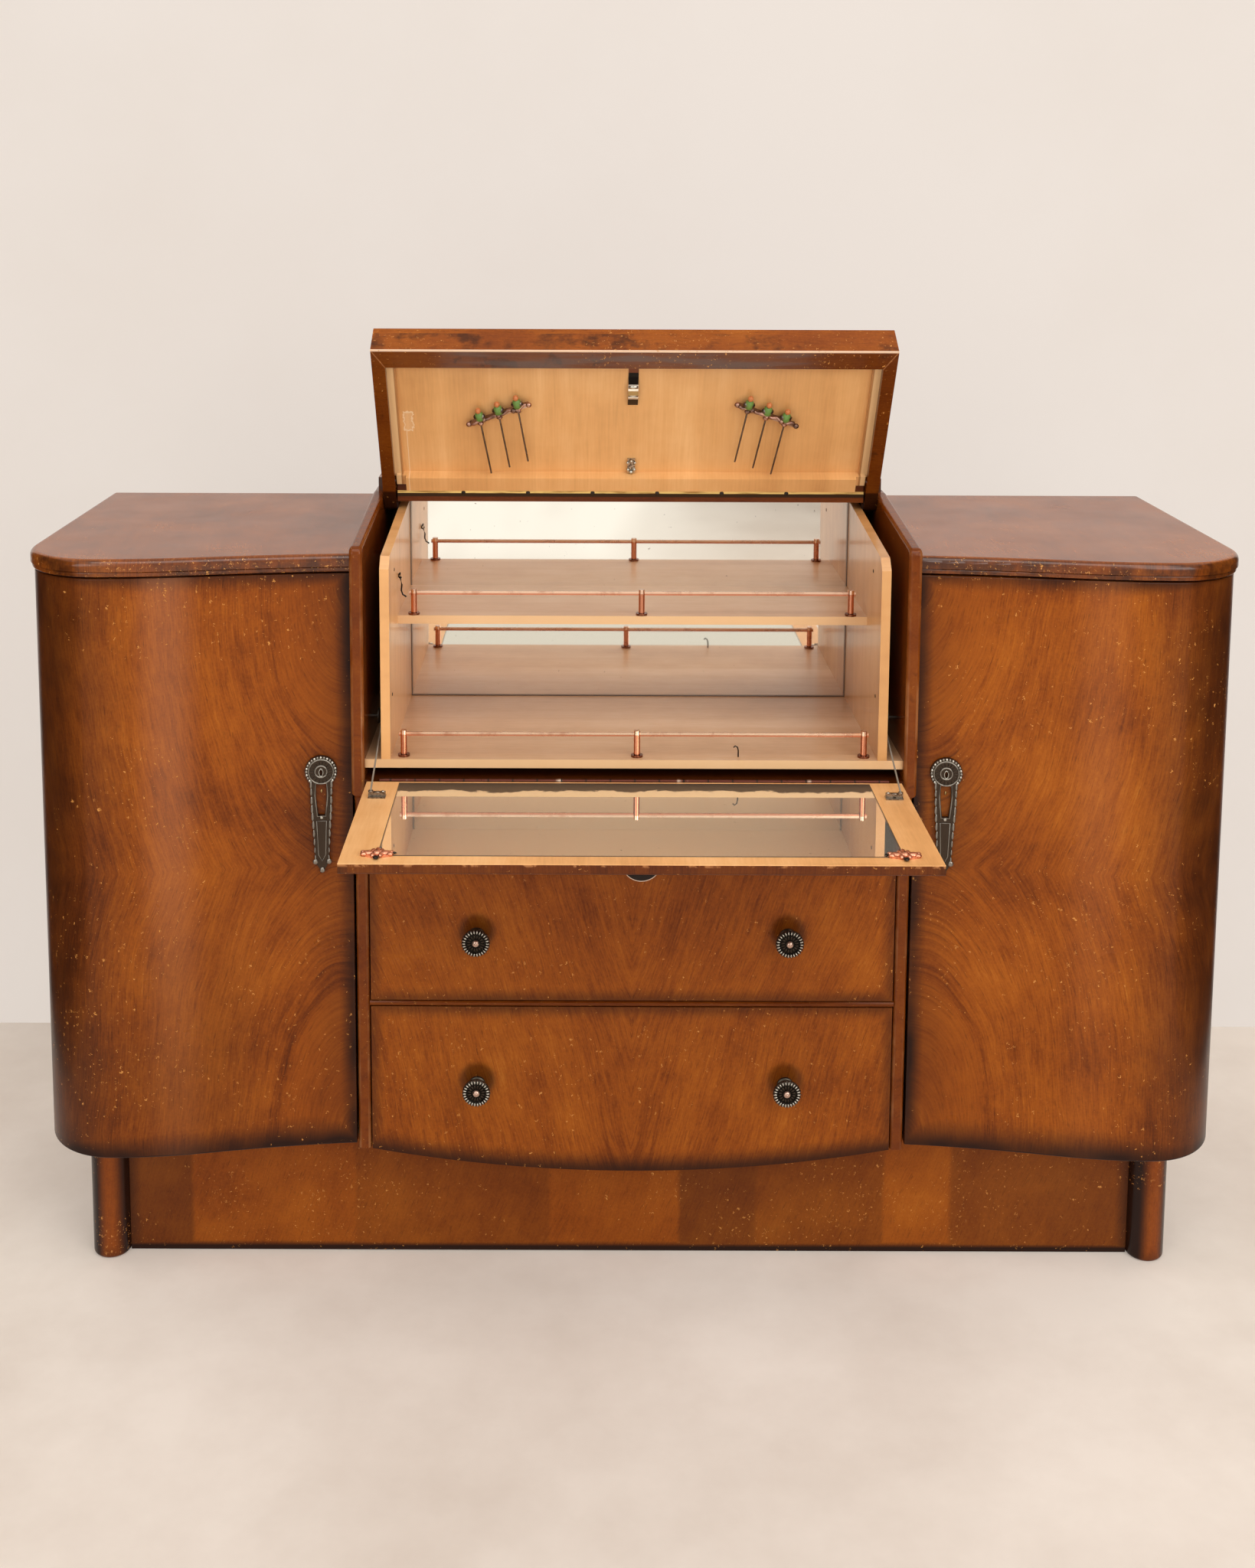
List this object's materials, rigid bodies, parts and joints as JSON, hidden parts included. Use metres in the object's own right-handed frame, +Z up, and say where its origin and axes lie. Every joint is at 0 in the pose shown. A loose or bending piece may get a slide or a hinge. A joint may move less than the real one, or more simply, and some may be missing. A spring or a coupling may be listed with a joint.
{
  "type": "bar cabinet",
  "caption": "Bow-fronted walnut bar cabinet with a mirrored cocktail box, a fall and coupled lid, curved side doors and drawers.",
  "frame": {"origin": "bottom centre of the bounding box as the cabinet stands in the picture, fall down and lid up, on the floor", "axes": "+X to the right seen from the front, +Y back, +Z up"},
  "size_m": [1.524, 0.725, 1.2357],
  "materials": {
    "walnut": "gloss",
    "walnut_edge": "gloss",
    "maple": "satin",
    "carcase_wood": "matt",
    "back_board": "matt",
    "mirror": "polished",
    "copper": "polished",
    "brass": "satin",
    "pewter": "aged",
    "knob_metal": "aged",
    "dark_metal": "aged",
    "steel": "satin",
    "picks": "polished",
    "cord": "braided"
  },
  "bodies": {
    "cabinet": {"back_boards": "back_board", "box_back": "maple", "box_back_mirror": "mirror", "box_floor": "maple", "box_shelf": "maple", "box_side_left": "maple", "box_side_right": "maple", "brass_strip": "brass", "centre_floor": "carcase_wood", "cupboard_floors": "carcase_wood", "cupboard_shelves": "carcase_wood", "door_hinge_leaves_carcase": "brass", "drawer_bead_rail": "walnut_edge", "drawer_runners": "carcase_wood", "end_panel_left": "walnut", "end_panel_right": "walnut", "fall_cords": "cord", "fall_hinge_leaf_carcase": "brass", "fall_rail": "walnut_edge", "front_legs": "walnut_edge", "gallery_rails": "copper", "lid_cords": "cord", "lid_rear_rail": "walnut_edge", "pivot_pins": "steel", "plinth_frame": "walnut_edge", "plinth_front": "walnut", "rear_top": "walnut", "shelf_pegs": "carcase_wood", "top_left": "walnut", "top_right": "walnut", "upright_left": "walnut_edge", "upright_right": "walnut_edge"},
    "lid": {"lid_top": "walnut", "lid_frame": "walnut_edge", "lid_lining": "maple", "lid_arms": "steel", "lid_latch": "brass", "pick_racks": "brass", "cocktail_picks": "picks"},
    "fall": {"fall_panel": "walnut_edge", "fall_lining": "maple", "fall_mirror": "mirror", "mirror_clips": "copper", "cord_brackets": "dark_metal", "fall_hinge_leaf_fall": "brass"},
    "left_door": {"door_left": "walnut", "door_pull_and_lock_left": "pewter", "door_hinge_leaves_left": "brass"},
    "right_door": {"door_right": "walnut", "door_pull_and_lock_right": "pewter", "door_hinge_leaves_right": "brass"},
    "upper_drawer": {"upper_drawer_front": "walnut", "upper_drawer_tray": "carcase_wood", "upper_drawer_knobs": "knob_metal"},
    "lower_drawer": {"lower_drawer_front": "walnut", "lower_drawer_tray": "carcase_wood", "lower_drawer_knobs": "knob_metal"},
    "left_pulley": {"pulley_left": "steel"},
    "right_pulley": {"pulley_right": "steel"}
  },
  "joints": [
    {"name": "fall_hinge", "type": "hinge", "parent": "cabinet", "child": "fall", "pos_m": [0, -0.0945, 0.684], "axis": [-1, 0, 0], "range_deg": [0, 90], "deforming": ["fall_cords"]},
    {"name": "lid_hinge", "type": "hinge", "parent": "cabinet", "child": "lid", "pos_m": [0, 0.1595, 0.993], "axis": [1, 0, 0], "range_deg": [0, 63], "deforming": ["lid_cords"]},
    {"name": "left_door_hinge", "type": "hinge", "parent": "cabinet", "child": "left_door", "pos_m": [-0.7594, 0.0835, 0.5655], "axis": [0, 0, -1], "range_deg": [0, 100]},
    {"name": "right_door_hinge", "type": "hinge", "parent": "cabinet", "child": "right_door", "pos_m": [0.7594, 0.0835, 0.5655], "axis": [0, 0, 1], "range_deg": [0, 100]},
    {"name": "upper_drawer_slide", "type": "slide", "parent": "cabinet", "child": "upper_drawer", "axis": [0, -1, 0], "range_m": [0, 0.29]},
    {"name": "lower_drawer_slide", "type": "slide", "parent": "cabinet", "child": "lower_drawer", "axis": [0, -1, 0], "range_m": [0, 0.29]},
    {"name": "left_pulley_spin", "type": "hinge", "parent": "cabinet", "child": "left_pulley", "pos_m": [-0.32, -0.0315, 0.748], "axis": [1, 0, 0], "range_deg": [0, 470]},
    {"name": "right_pulley_spin", "type": "hinge", "parent": "cabinet", "child": "right_pulley", "pos_m": [0.32, -0.0315, 0.748], "axis": [1, 0, 0], "range_deg": [0, 470]}
  ],
  "couplings": [
    {"joint": "lid_hinge", "follows": "fall_hinge", "ratio": 0.7},
    {"joint": "left_pulley_spin", "follows": "fall_hinge", "ratio": 5.2},
    {"joint": "right_pulley_spin", "follows": "fall_hinge", "ratio": 5.2}
  ]
}
